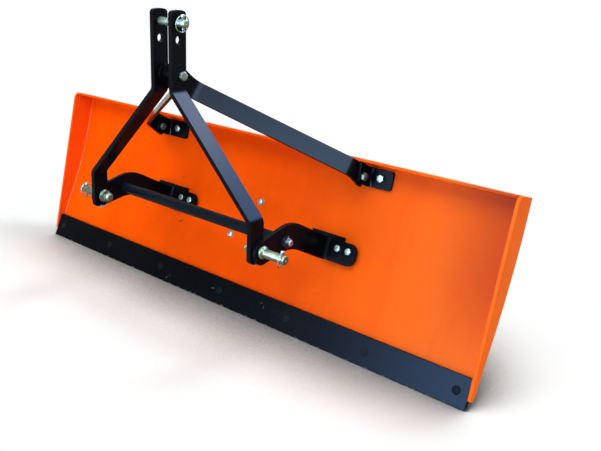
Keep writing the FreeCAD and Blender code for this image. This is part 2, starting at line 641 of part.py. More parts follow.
OUT = "leg_outside + arm_thick"
PARTS.append(make_turned("cross_tube", [("-leg_outside", "leg_outside", "tube_size")],
                         "tube_back", "tube_height", bore="tube_bore"))
PARTS.append(make_turned("cross_rod", [(f"-({OUT} + rod_nut_thick + rod_dome)",
                                        f"{OUT} + rod_nut_thick + rod_dome", "rod_size")],
                         "tube_back", "tube_height",
                         hexes=[(OUT, f"{OUT} + rod_nut_thick", "rod_nut_across"),
                                (f"-({OUT} + rod_nut_thick)", f"-({OUT})", "rod_nut_across")]))
MAST = "mast_gap / 2 + bar_thick"
PARTS.append(make_turned("top_link_pin", [
    (f"-({MAST} + top_head_thick)", "top_pin_reach", "top_pin_size"),
    (f"-({MAST} + top_head_thick)", f"-({MAST})", "top_head_size")], "0", "top_pin_height",
    cross="top_pin_reach - lynch_setback"))
PAIRS["lynch_pins"].append(make_lynch("top_lynch", "top_pin_reach - lynch_setback", "0",
                                      "top_pin_height", "top_pin_size"))
NUT = f"{MAST} + mast_nut_thick"
PARTS.append(make_turned("mast_bolt", [(f"-({NUT} + mast_bolt_stub)", MAST, "mast_bolt_size")],
                         "mast_bolt_back", "mast_bolt_height",
                         hexes=[(MAST, f"{MAST} + mast_head_thick", "mast_head_across"),
                                (f"-({NUT})", f"-({MAST})", "mast_head_across")]))
PARTS.append(make_turned("mast_spacer", [("strut_thick - mast_gap / 2",
                                          "mast_gap / 2 - strut_thick", "spacer_size")],
                         "mast_bolt_back", "mast_bolt_height",
                         bore="mast_bolt_size + hole_play"))

for name, members in PAIRS.items():
    group = doc.addObject("Part::Compound", name)
    group.Links = members
    group.Label = name
    PARTS.append(group)

doc.recompute()
for thing in doc.Objects:
    if "Invalid" in thing.State or "Error" in thing.State:
        raise RuntimeError(f"{thing.Name} did not build: {thing.State}")
for part in PARTS:
    if part.Shape.isNull() or not part.Shape.isValid():
        raise RuntimeError(f"{part.Label} has no sound shape")

# The origin goes under the middle of the whole outline, on the floor
box = FreeCAD.BoundBox()
for part in PARTS:
    for point in part.Shape.tessellate(value("weld_gap"))[0]:
        box.add(point)
shift = FreeCAD.Vector(-(box.XMin + box.XMax) / 2, -(box.YMin + box.YMax) / 2, -box.ZMin)
print("outline", [round(v, 2) for v in (box.XLength, box.YLength, box.ZLength)],
      "shift", [round(v, 3) for v in shift])

os.makedirs("parts", exist_ok=True)
for part in PARTS:
    solid = part.Shape.copy()
    solid.translate(shift)
    solid.exportStep(f"parts/{part.Label}.step")
    print(part.Label, len(solid.Solids), round(solid.Volume))
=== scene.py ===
import math

import bmesh
import bpy
from mathutils import Matrix, Vector


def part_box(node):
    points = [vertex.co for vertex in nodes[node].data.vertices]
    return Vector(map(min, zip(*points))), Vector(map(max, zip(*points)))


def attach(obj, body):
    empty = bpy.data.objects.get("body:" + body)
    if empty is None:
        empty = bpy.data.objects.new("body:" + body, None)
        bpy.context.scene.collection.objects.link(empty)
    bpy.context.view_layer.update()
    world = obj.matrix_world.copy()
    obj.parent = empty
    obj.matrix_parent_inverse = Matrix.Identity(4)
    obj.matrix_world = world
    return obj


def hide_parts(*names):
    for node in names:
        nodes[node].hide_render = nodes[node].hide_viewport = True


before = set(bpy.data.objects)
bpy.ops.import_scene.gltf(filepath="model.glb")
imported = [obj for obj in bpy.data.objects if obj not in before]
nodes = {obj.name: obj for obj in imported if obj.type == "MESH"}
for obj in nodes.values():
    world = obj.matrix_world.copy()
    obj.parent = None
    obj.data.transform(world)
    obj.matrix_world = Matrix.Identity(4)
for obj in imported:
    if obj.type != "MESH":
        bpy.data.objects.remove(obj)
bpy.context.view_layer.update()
scene = bpy.context.scene
scene.view_settings.view_transform = "Standard"
print("frame loaded")


photoView = {
    "place": (1.3212, -1.3540, 0.9277),
    "turn": 37.47,  # degrees to the left of straight ahead
    "drop": 19.89,
    "roll": 3.0,
    "lens": 42.64,
}


def makeCamera(view):
    turn, drop, roll = (math.radians(view[k]) for k in ("turn", "drop", "roll"))
    ahead = Vector((-math.sin(turn) * math.cos(drop), math.cos(turn) * math.cos(drop),
                    -math.sin(drop)))
    across = Vector((math.cos(turn), math.sin(turn), 0))
    down = ahead.cross(across)
    right = across * math.cos(roll) - down * math.sin(roll)
    under = across * math.sin(roll) + down * math.cos(roll)
    data = bpy.data.cameras.new("photoCamera")
    data.lens = view["lens"]
    data.sensor_width = 36
    data.clip_start, data.clip_end = 0.05, 50
    camera = bpy.data.objects.new("photoCamera", data)
    axes = Matrix((right, -under, -ahead)).transposed().to_4x4()
    camera.matrix_world = Matrix.Translation(view["place"]) @ axes
    scene.collection.objects.link(camera)
    scene.camera = camera


makeCamera(photoView)
print("camera set")


def addNode(tree, kind, **settings):
    node = tree.nodes.new(kind)
    for name, value in settings.items():
        setattr(node, name, value)
    return node


def mixColour(tree, amount, first, second):
    mix = addNode(tree, "ShaderNodeMix", data_type="RGBA")
    for socket, value in ((mix.inputs[0], amount), (mix.inputs[6], first), (mix.inputs[7], second)):
        if isinstance(value, bpy.types.NodeSocket):
            tree.links.new(value, socket)
        elif isinstance(value, (int, float)):
            socket.default_value = value
        else:
            socket.default_value = (*value, 1)
    return mix.outputs[2]


def ramp(tree, value, low, high):
    node = addNode(tree, "ShaderNodeMapRange", interpolation_type="SMOOTHSTEP")
    tree.links.new(value, node.inputs[0])
    node.inputs[1].default_value, node.inputs[2].default_value = low, high
    return node.outputs[0]


def calc(tree, how, first, second=0.0, clamp=False):
    node = addNode(tree, "ShaderNodeMath", operation=how, use_clamp=clamp)
    for socket, value in zip(node.inputs, (first, second)):
        if isinstance(value, bpy.types.NodeSocket):
            tree.links.new(value, socket)
        else:
            socket.default_value = value
    return node.outputs[0]


def noise(tree, coords, scale, detail=4.0, rough=0.55, stretch=None):
    if stretch:
        mapping = addNode(tree, "ShaderNodeMapping")
        mapping.inputs["Scale"].default_value = stretch
        tree.links.new(coords, mapping.inputs["Vector"])
        coords = mapping.outputs[0]
    node = addNode(tree, "ShaderNodeTexNoise")
    tree.links.new(coords, node.inputs["Vector"])
    if isinstance(scale, bpy.types.NodeSocket):
        tree.links.new(scale, node.inputs["Scale"])
    else:
        node.inputs["Scale"].default_value = scale
    node.inputs["Detail"].default_value = detail
    node.inputs["Roughness"].default_value = rough
    return node.outputs[0]


def newGroup(name, inputs, outputs):
    group = bpy.data.node_groups.new(name, "ShaderNodeTree")
    for label, kind, value in inputs:
        socket = group.interface.new_socket(label, in_out="INPUT", socket_type=kind)
        if value is not None:
            socket.default_value = value
    for label, kind in outputs:
        group.interface.new_socket(label, in_out="OUTPUT", socket_type=kind)
    return group, addNode(group, "NodeGroupInput"), addNode(group, "NodeGroupOutput")


def useGroup(tree, group, **values):
    node = addNode(tree, "ShaderNodeGroup", node_tree=group)
    for label, value in values.items():
        socket = node.inputs[label[0].upper() + label[1:]]
        if isinstance(value, bpy.types.NodeSocket):
            tree.links.new(value, socket)
        else:
            socket.default_value = value
    return node


def makeEdgeWear():
    # where an outer edge is rubbed: Wear is 1 at bare spots
    group, source, sink = newGroup(
        "edgeWear",
        [("Width", "NodeSocketFloat", 0.002), ("Amount", "NodeSocketFloat", 0.3),
         ("Patches", "NodeSocketFloat", 30.0)],
        [("Wear", "NodeSocketFloat"), ("Normal", "NodeSocketVector")])
    coords = addNode(group, "ShaderNodeTexCoord").outputs["Object"]
    rounded = addNode(group, "ShaderNodeBevel", samples=4)
    group.links.new(source.outputs["Width"], rounded.inputs["Radius"])
    flat = addNode(group, "ShaderNodeNewGeometry")
    same = addNode(group, "ShaderNodeVectorMath", operation="DOT_PRODUCT")
    group.links.new(rounded.outputs[0], same.inputs[0])
    group.links.new(flat.outputs["Normal"], same.inputs[1])
    edge = ramp(group, calc(group, "SUBTRACT", 1.0, same.outputs["Value"]), 0.004, 0.12)
    spots = noise(group, coords, source.outputs["Patches"], 6.0, 0.65)
    limit = calc(group, "SUBTRACT", 0.8, calc(group, "MULTIPLY", source.outputs["Amount"], 0.5))
    worn = ramp(group, calc(group, "SUBTRACT", spots, limit), 0.0, 0.04)
    group.links.new(calc(group, "MULTIPLY", edge, worn), sink.inputs["Wear"])
    group.links.new(rounded.outputs[0], sink.inputs["Normal"])
    return group


def makePaintFilm():
    # slow shifts of tone, faint specks of dust and the orange-peel of sprayed gloss
    group, source, sink = newGroup(
        "paintFilm",
        [("Cloud", "NodeSocketFloat", 3.0), ("Peel", "NodeSocketFloat", 260.0)],
        [("Tone", "NodeSocketFloat"), ("Speck", "NodeSocketFloat"), ("Peel", "NodeSocketFloat")])
    coords = addNode(group, "ShaderNodeTexCoord").outputs["Object"]
    tone = noise(group, coords, source.outputs["Cloud"], 5.0, 0.6)
    speck = ramp(group, noise(group, coords, 420.0, 2.0, 0.5), 0.62, 0.75)
    peel = noise(group, coords, source.outputs["Peel"], 2.0, 0.5)
    group.links.new(tone, sink.inputs["Tone"])
    group.links.new(speck, sink.inputs["Speck"])
    group.links.new(peel, sink.inputs["Peel"])
    return group


def makeScratches():
    # thin random scuffs: a stretched noise cut to lines
    group, source, sink = newGroup(
        "scratches", [("Amount", "NodeSocketFloat", 0.3), ("Scale", "NodeSocketFloat", 40.0)],
        [("Scuff", "NodeSocketFloat")])
    coords = addNode(group, "ShaderNodeTexCoord").outputs["Object"]
    lines = noise(group, coords, source.outputs["Scale"], 3.0, 0.6, stretch=(0.35, 1.0, 4.0))
    distance = calc(group, "ABSOLUTE", calc(group, "SUBTRACT", lines, 0.5))
    thin = calc(group, "SUBTRACT", 1.0, ramp(group, distance, 0.0, 0.012))
    where = ramp(group, noise(group, coords, 7.0, 3.0, 0.6), 0.6, 0.75)
    scuff = calc(group, "MULTIPLY", calc(group, "MULTIPLY", thin, where), source.outputs["Amount"])
    group.links.new(scuff, sink.inputs["Scuff"])
    return group


def makeGroundWear():
    # paint knocked off near the lowest edge: Bare is 1 on chips between Low and High
    group, source, sink = newGroup(
        "groundWear", [("Low", "NodeSocketFloat", 0.0), ("High", "NodeSocketFloat", 0.02),
                       ("Amount", "NodeSocketFloat", 0.5)], [("Bare", "NodeSocketFloat")])
    coords = addNode(group, "ShaderNodeTexCoord").outputs["Object"]
    split = addNode(group, "ShaderNodeSeparateXYZ")
    group.links.new(coords, split.inputs[0])
    span = calc(group, "SUBTRACT", source.outputs["High"], source.outputs["Low"])
    above = calc(group, "SUBTRACT", split.outputs["Z"], source.outputs["Low"])
    level = calc(group, "DIVIDE", above, span, clamp=True)
    nearness = calc(group, "SUBTRACT", 1.0, level)
    spots = noise(group, coords, 55.0, 5.0, 0.7)
    limit = calc(group, "SUBTRACT", 1.0, calc(group, "MULTIPLY", nearness, source.outputs["Amount"]))
    chips = ramp(group, calc(group, "SUBTRACT", spots, limit), -0.02, 0.03)
    group.links.new(chips, sink.inputs["Bare"])
    return group


edgeWear = makeEdgeWear()
groundWear = makeGroundWear()
paintFilm = makePaintFilm()
scratches = makeScratches()


def newMaterial(name, roughness, metallic=0.0, specular=0.5):
    material = bpy.data.materials.new(name)
    material.use_nodes = True
    tree = material.node_tree
    shader = tree.nodes["Principled BSDF"]
    shader.inputs["Roughness"].default_value = roughness
    shader.inputs["Metallic"].default_value = metallic
    shader.inputs["Specular IOR Level"].default_value = specular
    return material, tree, shader


def bumpFrom(tree, shader, height, distance, strength, normal):
    bump = addNode(tree, "ShaderNodeBump")
    bump.inputs["Strength"].default_value = strength
    bump.inputs["Distance"].default_value = distance
    tree.links.new(height, bump.inputs["Height"])
    tree.links.new(normal, bump.inputs["Normal"])
    tree.links.new(bump.outputs[0], shader.inputs["Normal"])


def addMarks(tree, marks):
    # small scrapes on the front, each one (x, z, turn in degrees, half length, half width)
    coords = addNode(tree, "ShaderNodeTexCoord").outputs["Object"]
    broken = ramp(tree, noise(tree, coords, 380.0, 3.0, 0.6), 0.4, 0.55)
    total = 0.0
    for x, z, turn, long, wide in marks:
        local = addNode(tree, "ShaderNodeMapping", vector_type="TEXTURE")
        tree.links.new(coords, local.inputs["Vector"])
        local.inputs["Location"].default_value = (x, 0, z)
        local.inputs["Rotation"].default_value = (0, -math.radians(turn), 0)
        local.inputs["Scale"].default_value = (long, 1000, wide)
        length = addNode(tree, "ShaderNodeVectorMath", operation="LENGTH")
        tree.links.new(local.outputs[0], length.inputs[0])
        spot = calc(tree, "SUBTRACT", 1.0, ramp(tree, length.outputs["Value"], 0.5, 1.0))
        total = calc(tree, "MAXIMUM", calc(tree, "MULTIPLY", spot, broken), total)
    return total


# sheenSpan: the x over which the paint pales to its sheen colour, a painted sheen towards the right; across and
# up: the x and z over which the corner darkens, a painted shade by the right end plate;
# chips: their lowest and highest z, and how many
paints = {
    "orangePaint": {
        "deep": (0.82, 0.078, 0.0008), "bright": (0.93, 0.100, 0.001), "bare": (0.19, 0.05, 0.018),
        "sheen": (0.82, 0.150, 0.006), "sheenSpan": (0.05, 0.85),
        # corner: a painted shade on the board by the right end plate
        "corner": (0.50, 0.070, 0.003), "across": (0.55, 0.80), "up": (0.04, 0.28),
        "roughness": 0.36, "specular": 0.006, "wearWidth": 0.0018, "wear": 0.34, "scuffs": 0.5,
        "chips": (-0.02, 0.16, 0.52), "streaks": (0.72, 0.056, 0.0008),
        "marks": ((-0.280, 0.293, 39, 0.011, 0.0022), (-0.2426, 0.1686, 29, 0.012, 0.0040),
                  (-0.236, 0.172, 20, 0.006, 0.002), (-0.545, 0.215, 60, 0.005, 0.0012)),
    },
    "blackPaint": {
        "deep": (0.0016, 0.0021, 0.0034), "bright": (0.0038, 0.0048, 0.0075), "bare": (0.42, 0.44, 0.46),
        "roughness": 0.25, "specular": 0.038, "wearWidth": 0.0014, "wear": 0.2, "scuffs": 0.12,
        "chips": (-0.02, -0.01, 0.0),
    },
    "edgePaint": {
        "deep": (0.0010, 0.0013, 0.0020), "bright": (0.0028, 0.0036, 0.0055), "bare": (0.16, 0.16, 0.16),
        "roughness": 0.30, "specular": 0.02, "wearWidth": 0.003, "wear": 0.3, "scuffs": 0.12,
        "chips": (-0.004, 0.014, 0.64),
        "marks": ((-0.2148, 0.0142, 70, 0.006, 0.0016), (-0.205, 0.021, 60, 0.004, 0.0012),
                  (-0.0245, 0.0352, 10, 0.008, 0.0012), (0.1693, 0.0393, 80, 0.006, 0.0012),
                  (0.158, 0.047, 20, 0.005, 0.001)),
    },
}
paints["barPaint"] = {**paints["blackPaint"], "chips": (0.256, 0.278, 0.95)}  # at the tips of the legs
# the cross tube's black is tinted blue: a painted sheen
paints["sheenTubePaint"] = {**paints["blackPaint"], "deep": (0.003, 0.006, 0.010), "bright": (0.006, 0.011, 0.019)}
paints["boltPaint"] = {**paints["blackPaint"], "deep": (0.006, 0.0065, 0.0075), "bright": (0.014, 0.015, 0.017),
                       "roughness": 0.5, "specular": 0.01, "wear": 0.3}
# the end plates in a brighter orange than the board: painted light, with a paler painted sheen on the right
# plate
paints["litSidePaint"] = {**paints["orangePaint"], "deep": (0.97, 0.105, 0.006), "bright": (1.0, 0.125, 0.008),
                       "sheen": (1.0, 0.155, 0.009), "sheenSpan": (0.7, 0.78), "corner": (1.0, 0.155, 0.009)}
# the front seam beads in a paler orange than the board: a painted highlight along the bead
paints["highlightSeamPaint"] = {**paints["orangePaint"], "deep": (0.90, 0.19, 0.04), "bright": (0.94, 0.31, 0.11)}
dustShare, streakShare = 0.25, 0.2


def makePaint(name, look):
    material, tree, shader = newMaterial(name, look["roughness"], specular=look["specular"])
    film = useGroup(tree, paintFilm, cloud=3.0, peel=240.0)
    wear = useGroup(tree, edgeWear, width=look["wearWidth"], amount=look["wear"], patches=34.0)
    scuff = useGroup(tree, scratches, amount=look["scuffs"], scale=42.0)
    low, high, amount = look["chips"]
    chips = useGroup(tree, groundWear, low=low, high=high, amount=amount)
    colour = mixColour(tree, ramp(tree, film.outputs["Tone"], 0.3, 0.7), look["deep"], look["bright"])
    colour = mixColour(tree, calc(tree, "MULTIPLY", film.outputs["Speck"], dustShare), colour,
                       tuple(min(1.0, c * 1.5 + 0.01) for c in look["bright"]))
    bare = calc(tree, "MAXIMUM", calc(tree, "MAXIMUM", wear.outputs["Wear"], scuff.outputs["Scuff"]),
                chips.outputs["Bare"])
    if "sheen" in look:
        split = addNode(tree, "ShaderNodeSeparateXYZ")
        tree.links.new(addNode(tree, "ShaderNodeTexCoord").outputs["Object"], split.inputs[0])
        # painted sheen: towards the right end the colour pales to the sheen colour
        colour = mixColour(tree, ramp(tree, split.outputs["X"], *look["sheenSpan"]), colour, look["sheen"])
        # painted shade: towards the upper right end, by the end plate, the colour darkens to the corner colour
        corner = calc(tree, "MULTIPLY", ramp(tree, split.outputs["X"], *look["across"]),
                      ramp(tree, split.outputs["Z"], *look["up"]))
        colour = mixColour(tree, corner, colour, look["corner"])
    if "streaks" in look:
        coords = addNode(tree, "ShaderNodeTexCoord").outputs["Object"]
        bands = ramp(tree, noise(tree, coords, 17.0, 4.0, 0.6, stretch=(1, 0.1, 0.1)), 0.45, 0.75)
        colour = mixColour(tree, calc(tree, "MULTIPLY", bands, streakShare), colour, look["streaks"])
    if "marks" in look:
        bare = calc(tree, "MAXIMUM", bare, addMarks(tree, look["marks"]))
    colour = mixColour(tree, bare, colour, look["bare"])
    tree.links.new(colour, shader.inputs["Base Color"])
    uneven = calc(tree, "ADD", look["roughness"] - 0.05, calc(tree, "MULTIPLY", film.outputs["Tone"], 0.1))
    rough = calc(tree, "ADD", calc(tree, "MULTIPLY", bare, 0.15), uneven)
    tree.links.new(rough, shader.inputs["Roughness"])
    bumpFrom(tree, shader, film.outputs["Peel"], 0.00012, 0.35, wear.outputs["Normal"])
    return material


platings = {
    "brightZinc": {"deep": (0.105, 0.113, 0.068), "bright": (0.205, 0.216, 0.136), "roughness": 0.44},
    "ringZinc": {"deep": (0.13, 0.138, 0.095), "bright": (0.25, 0.26, 0.18), "roughness": 0.42},
    "yellowZinc": {"deep": (0.075, 0.076, 0.036), "bright": (0.155, 0.152, 0.075), "roughness": 0.42},
    "blackZinc": {"deep": (0.015, 0.014, 0.012), "bright": (0.046, 0.042, 0.034), "roughness": 0.36},
    "bareSteel": {"deep": (0.17, 0.15, 0.15), "bright": (0.32, 0.28, 0.28), "roughness": 0.42},
}
rubbedZinc = (0.42, 0.43, 0.32)


def makePlating(name, look):
    material, tree, shader = newMaterial(name, look["roughness"], metallic=0.9)
    coords = addNode(tree, "ShaderNodeTexCoord").outputs["Object"]
    patches = noise(tree, coords, 90.0, 4.0, 0.6)
    wear = useGroup(tree, edgeWear, width=0.0006, amount=0.9, patches=60.0)
    colour = mixColour(tree, ramp(tree, patches, 0.3, 0.7), look["deep"], look["bright"])
    colour = mixColour(tree, calc(tree, "MULTIPLY", wear.outputs["Wear"], 0.5), colour, rubbedZinc)
    tree.links.new(colour, shader.inputs["Base Color"])
    rough = calc(tree, "ADD", look["roughness"] - 0.08, calc(tree, "MULTIPLY", patches, 0.16))
    tree.links.new(rough, shader.inputs["Roughness"])
    bumpFrom(tree, shader, patches, 0.0001, 0.3, wear.outputs["Normal"])
    return material


materials = {name: makePaint(name, look) for name, look in paints.items()}
materials.update({name: makePlating(name, look) for name, look in platings.items()})

finishes = {
    "orangePaint": ("moldboard", "rear_"),
    "litSidePaint": ("end_plate",),
    "barPaint": ("frame_bar",),
    "blackPaint": ("strut", "upper_bracket", "lower_arm", "lower_bracket", "mast_spacer"),
    "sheenTubePaint": ("cross_tube",),
    "edgePaint": ("cutting_edge",),
    "yellowZinc": ("lower_pins", "lower_pin_nuts"),
    "brightZinc": ("top_link_pin", "mast_bolt"),
    "ringZinc": ("lynch_pins",),
    "blackZinc": ("cross_rod",),
}
for finish, starts in finishes.items():
    for name, node in nodes.items():
        if name.startswith(starts):
            node.data.materials.clear()
            node.data.materials.append(materials[finish])
print("materials made:", len(materials))


stage = {
    "reach": 12.0, "sunk": 0.0005,
    "shape": (1.0, 0.6, 1.0), "clear": (0.85, 1.3),  # the oval in which the floor isn't plain white
    # shade, nearby and hidden: within nearby of the implement, ambient occlusion darkens the floor paper
    # towards shade, a painted contact shadow
    "tone": (0.73, 0.75, 0.755), "shade": (0.05, 0.05, 0.05), "nearby": 0.42, "hidden": (0.52, 0.92),
    "glow": (0.012, 0.02, 0.02),
}


def seenRays(tree):
    # 1 for rays that show the floor or the sky itself, 0 for those that only carry its light
    path = addNode(tree, "ShaderNodeLightPath")
    mirrored = calc(tree, "MAXIMUM", path.outputs["Is Glossy Ray"], path.outputs["Is Transmission Ray"])
    return calc(tree, "MAXIMUM", path.outputs["Is Camera Ray"], mirrored)


def makeFloor():
    bpy.ops.mesh.primitive_circle_add(vertices=64, radius=stage["reach"], fill_type="NGON",
                                      location=(0, 0, -stage["sunk"]))
    floor = bpy.context.object
    floor.name = "floor"
    material = bpy.data.materials.new("floorPaper")
    material.use_nodes = True
    tree = material.node_tree
    tree.nodes.clear()
    coords = addNode(tree, "ShaderNodeTexCoord").outputs["Object"]
    oval = addNode(tree, "ShaderNodeVectorMath", operation="DIVIDE")
    tree.links.new(coords, oval.inputs[0])
    oval.inputs[1].default_value = stage["shape"]
    length = addNode(tree, "ShaderNodeVectorMath", operation="LENGTH")
    tree.links.new(oval.outputs[0], length.inputs[0])
    away = ramp(tree, length.outputs["Value"], *stage["clear"])
    seen = seenRays(tree)
    paper = addNode(tree, "ShaderNodeBsdfDiffuse")
    # painted contact shadow: ambient occlusion darkens the paper's colour close to the implement
    nearby = addNode(tree, "ShaderNodeAmbientOcclusion", samples=12)
    nearby.inputs["Distance"].default_value = stage["nearby"]
    lit = ramp(tree, nearby.outputs["AO"], *stage["hidden"])
    tree.links.new(mixColour(tree, lit, stage["shade"], stage["tone"]), paper.inputs["Color"])
    white = addNode(tree, "ShaderNodeEmission")
    glow = addNode(tree, "ShaderNodeEmission")
    glow.inputs["Color"].default_value = (*stage["glow"], 1)
    tree.links.new(seen, glow.inputs["Strength"])
    both = addNode(tree, "ShaderNodeAddShader")
    tree.links.new(paper.outputs[0], both.inputs[0])
    tree.links.new(glow.outputs[0], both.inputs[1])
    mix = addNode(tree, "ShaderNodeMixShader")
    tree.links.new(calc(tree, "MULTIPLY", away, seen), mix.inputs[0])
    tree.links.new(both.outputs[0], mix.inputs[1])
    tree.links.new(white.outputs[0], mix.inputs[2])
    output = addNode(tree, "ShaderNodeOutputMaterial")
    tree.links.new(mix.outputs[0], output.inputs["Surface"])
    floor.data.materials.append(material)


skyLight = {"tint": (0.96, 0.98, 1.0), "strength": 0.6}


def makeSky(colour, strength):
    world = bpy.data.worlds.new("studioSky")
    scene.world = world
    world.use_nodes = True
    tree = world.node_tree
    tree.nodes.clear()
    seen = seenRays(tree)
    soft = addNode(tree, "ShaderNodeBackground")
    soft.inputs["Color"].default_value = (*colour, 1)
    soft.inputs["Strength"].default_value = strength
    white = addNode(tree, "ShaderNodeBackground")
    white.inputs["Color"].default_value = (1, 1, 1, 1)
    mix = addNode(tree, "ShaderNodeMixShader")
    tree.links.new(seen, mix.inputs[0])
    tree.links.new(soft.outputs[0], mix.inputs[1])
    tree.links.new(white.outputs[0], mix.inputs[2])
    output = addNode(tree, "ShaderNodeOutputWorld")
    tree.links.new(mix.outputs[0], output.inputs["Surface"])


warmWhite = (1, 0.985, 0.96)
lamps = {
    "overhead": {"place": (0.0, -2.1, 3.0), "aim": (0, 0, 0.2), "size": (3.2, 1.8), "power": 80,
                 "tint": warmWhite},
    "overBack": {"place": (0.8, 1.5, 2.8), "aim": (0, 0, 0.2), "size": (1.0, 1.0), "power": 62,
                 "tint": warmWhite},
    "lowFront": {"place": (-0.6, -2.5, 0.55), "aim": (-0.15, 0, 0.15), "size": (1.4, 0.7), "power": 12,
                 "tint": warmWhite},
    "skyBehind": {"place": (1.1, 2.0, 2.9), "aim": (0, 0, 0.5), "size": (3.0, 2.4), "power": 600,
                  "tint": (0.28, 0.48, 1), "glossOnly": True},
    "skyRight": {"place": (2.4, -1.7, 2.6), "aim": (0, 0, 0.5), "size": (2.0, 1.4), "power": 400,
                 "tint": (0.42, 0.66, 1), "glossOnly": True},
    "skyFront": {"place": (-0.2, -3.5, 1.2), "aim": (0.5, 0, 0.1), "size": (1.5, 1.7), "power": 860,
                 "tint": (0.27, 0.5, 1), "glossOnly": True},
    "skyAbove": {"place": (0.3, -1.3, 3.6), "aim": (0, 0, 0.3), "size": (3.6, 1.4), "power": 300,
                 "tint": (0.42, 0.62, 1), "glossOnly": True},
}


def makeLamp(name, lamp):
    data = bpy.data.lights.new(name, "AREA")
    data.shape = "RECTANGLE"
    data.size, data.size_y = lamp["size"]
    data.energy = lamp["power"]
    data.color = lamp["tint"]
    thing = bpy.data.objects.new(name, data)
    thing.location = lamp["place"]
    ahead = Vector(lamp["aim"]) - Vector(lamp["place"])
    thing.rotation_euler = ahead.to_track_quat("-Z", "Y").to_euler()
    thing.visible_camera = False
    thing.visible_diffuse = not lamp.get("glossOnly", False)
    scene.collection.objects.link(thing)


makeFloor()
makeSky(skyLight["tint"], skyLight["strength"])
for name, lamp in lamps.items():
    makeLamp(name, lamp)
print("floor and light set")


blade = {"front": 0.165, "lean": 25.0, "edgeThick": 0.012, "flatEnd": 0.173, "radius": 1.350}
barLow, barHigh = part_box("frame_bar_right")
barMiddle = (barLow.y + barHigh.y) / 2


def boardSpot(x, angle):
    # a place on the hollow front where the sheet leans back by angle, and the way it faces
    lean, turn = math.radians(blade["lean"]), math.radians(angle)
    reach = blade["edgeThick"] - blade["radius"]
    y = (blade["front"] + reach * math.cos(lean) + blade["flatEnd"] * math.sin(lean)
         + blade["radius"] * math.cos(turn))
    z = -reach * math.sin(lean) + blade["flatEnd"] * math.cos(lean) - blade["radius"] * math.sin(turn)
    return Vector((x, y + barMiddle, z)), Vector((0, -math.cos(turn), math.sin(turn)))


def edgeSpot(x, height):
    # a place on the cutting edge's face, height above its tip along the face
    lean = math.radians(blade["lean"])
    spot = Vector((x, blade["front"] + height * math.sin(lean) + barMiddle, height * math.cos(lean)))
    return spot, Vector((0, -math.cos(lean), math.sin(lean)))


def meshObject(name, bm, material, smoothAngle=35):
    bmesh.ops.remove_doubles(bm, verts=bm.verts, dist=1e-6)
    bmesh.ops.recalc_face_normals(bm, faces=bm.faces)
    mesh = bpy.data.meshes.new(name)
    bm.to_mesh(mesh)
    bm.free()
    mesh.materials.append(material)
    thing = bpy.data.objects.new(name, mesh)
    scene.collection.objects.link(thing)
    mesh.shade_smooth()
    mesh.set_sharp_from_angle(angle=math.radians(smoothAngle))
    return thing


def lathe(bm, profile, segments=32, matrix=Matrix()):
    # profile is (radius, height) from bottom to top; a radius of 0 closes the end
    rings = []
    for radius, height in profile:
        if radius == 0:
            rings.append([bm.verts.new(matrix @ Vector((0, 0, height)))])
            continue
        angles = [2 * math.pi * k / segments for k in range(segments)]
        rings.append([bm.verts.new(matrix @ Vector((radius * math.cos(a), radius * math.sin(a), height)))
                      for a in angles])
    for lower, upper in zip(rings, rings[1:]):
        for k in range(segments):
            j = (k + 1) % segments
            corners = list(dict.fromkeys((lower[k % len(lower)], lower[j % len(lower)],
                                          upper[j % len(upper)], upper[k % len(upper)])))
            if len(corners) > 2:
                bm.faces.new(corners)


def hexHead(bm, across, height, base=0.0, matrix=Matrix(), domed=0.0, samples=36):
    # six flats with the turned chamfer of a real head; domed lifts the middle
    crown = across / 2 * 0.94
    rings = [[], [], [], []]
    for k in range(samples):
        angle = 2 * math.pi * k / samples
        flat = across / 2 / math.cos((angle + math.pi / 6) % (math.pi / 3) - math.pi / 6)
        drop = max(0.0, flat - crown) * 0.55
        lift = max(0.0, flat - crown) * 0.25
        outline = ((flat, base + lift), (flat, base + height - drop), (crown, base + height),
                   (crown * 0.6, base + height + domed * 0.8))
        for ring, (radius, level) in zip(rings, outline):
            corner = Vector((radius * math.cos(angle), radius * math.sin(angle), level))
            ring.append(bm.verts.new(matrix @ corner))
    top = bm.verts.new(matrix @ Vector((0, 0, base + height + domed)))
    bottom = bm.verts.new(matrix @ Vector((0, 0, base)))
    for lower, upper in zip(rings, rings[1:]):
        for k in range(samples):
            j = (k + 1) % samples
            bm.faces.new((lower[k], lower[j], upper[j], upper[k]))
    for k in range(samples):
        j = (k + 1) % samples
        bm.faces.new((rings[3][k], rings[3][j], top))
        bm.faces.new((rings[0][j], rings[0][k], bottom))


def washer(bm, outer, thick, base=0.0, matrix=Matrix()):
    edge = thick * 0.25
    lathe(bm, [(0, base), (outer - edge, base), (outer, base + edge), (outer, base + thick - edge),
               (outer - edge, base + thick), (0, base + thick)], 32, matrix)


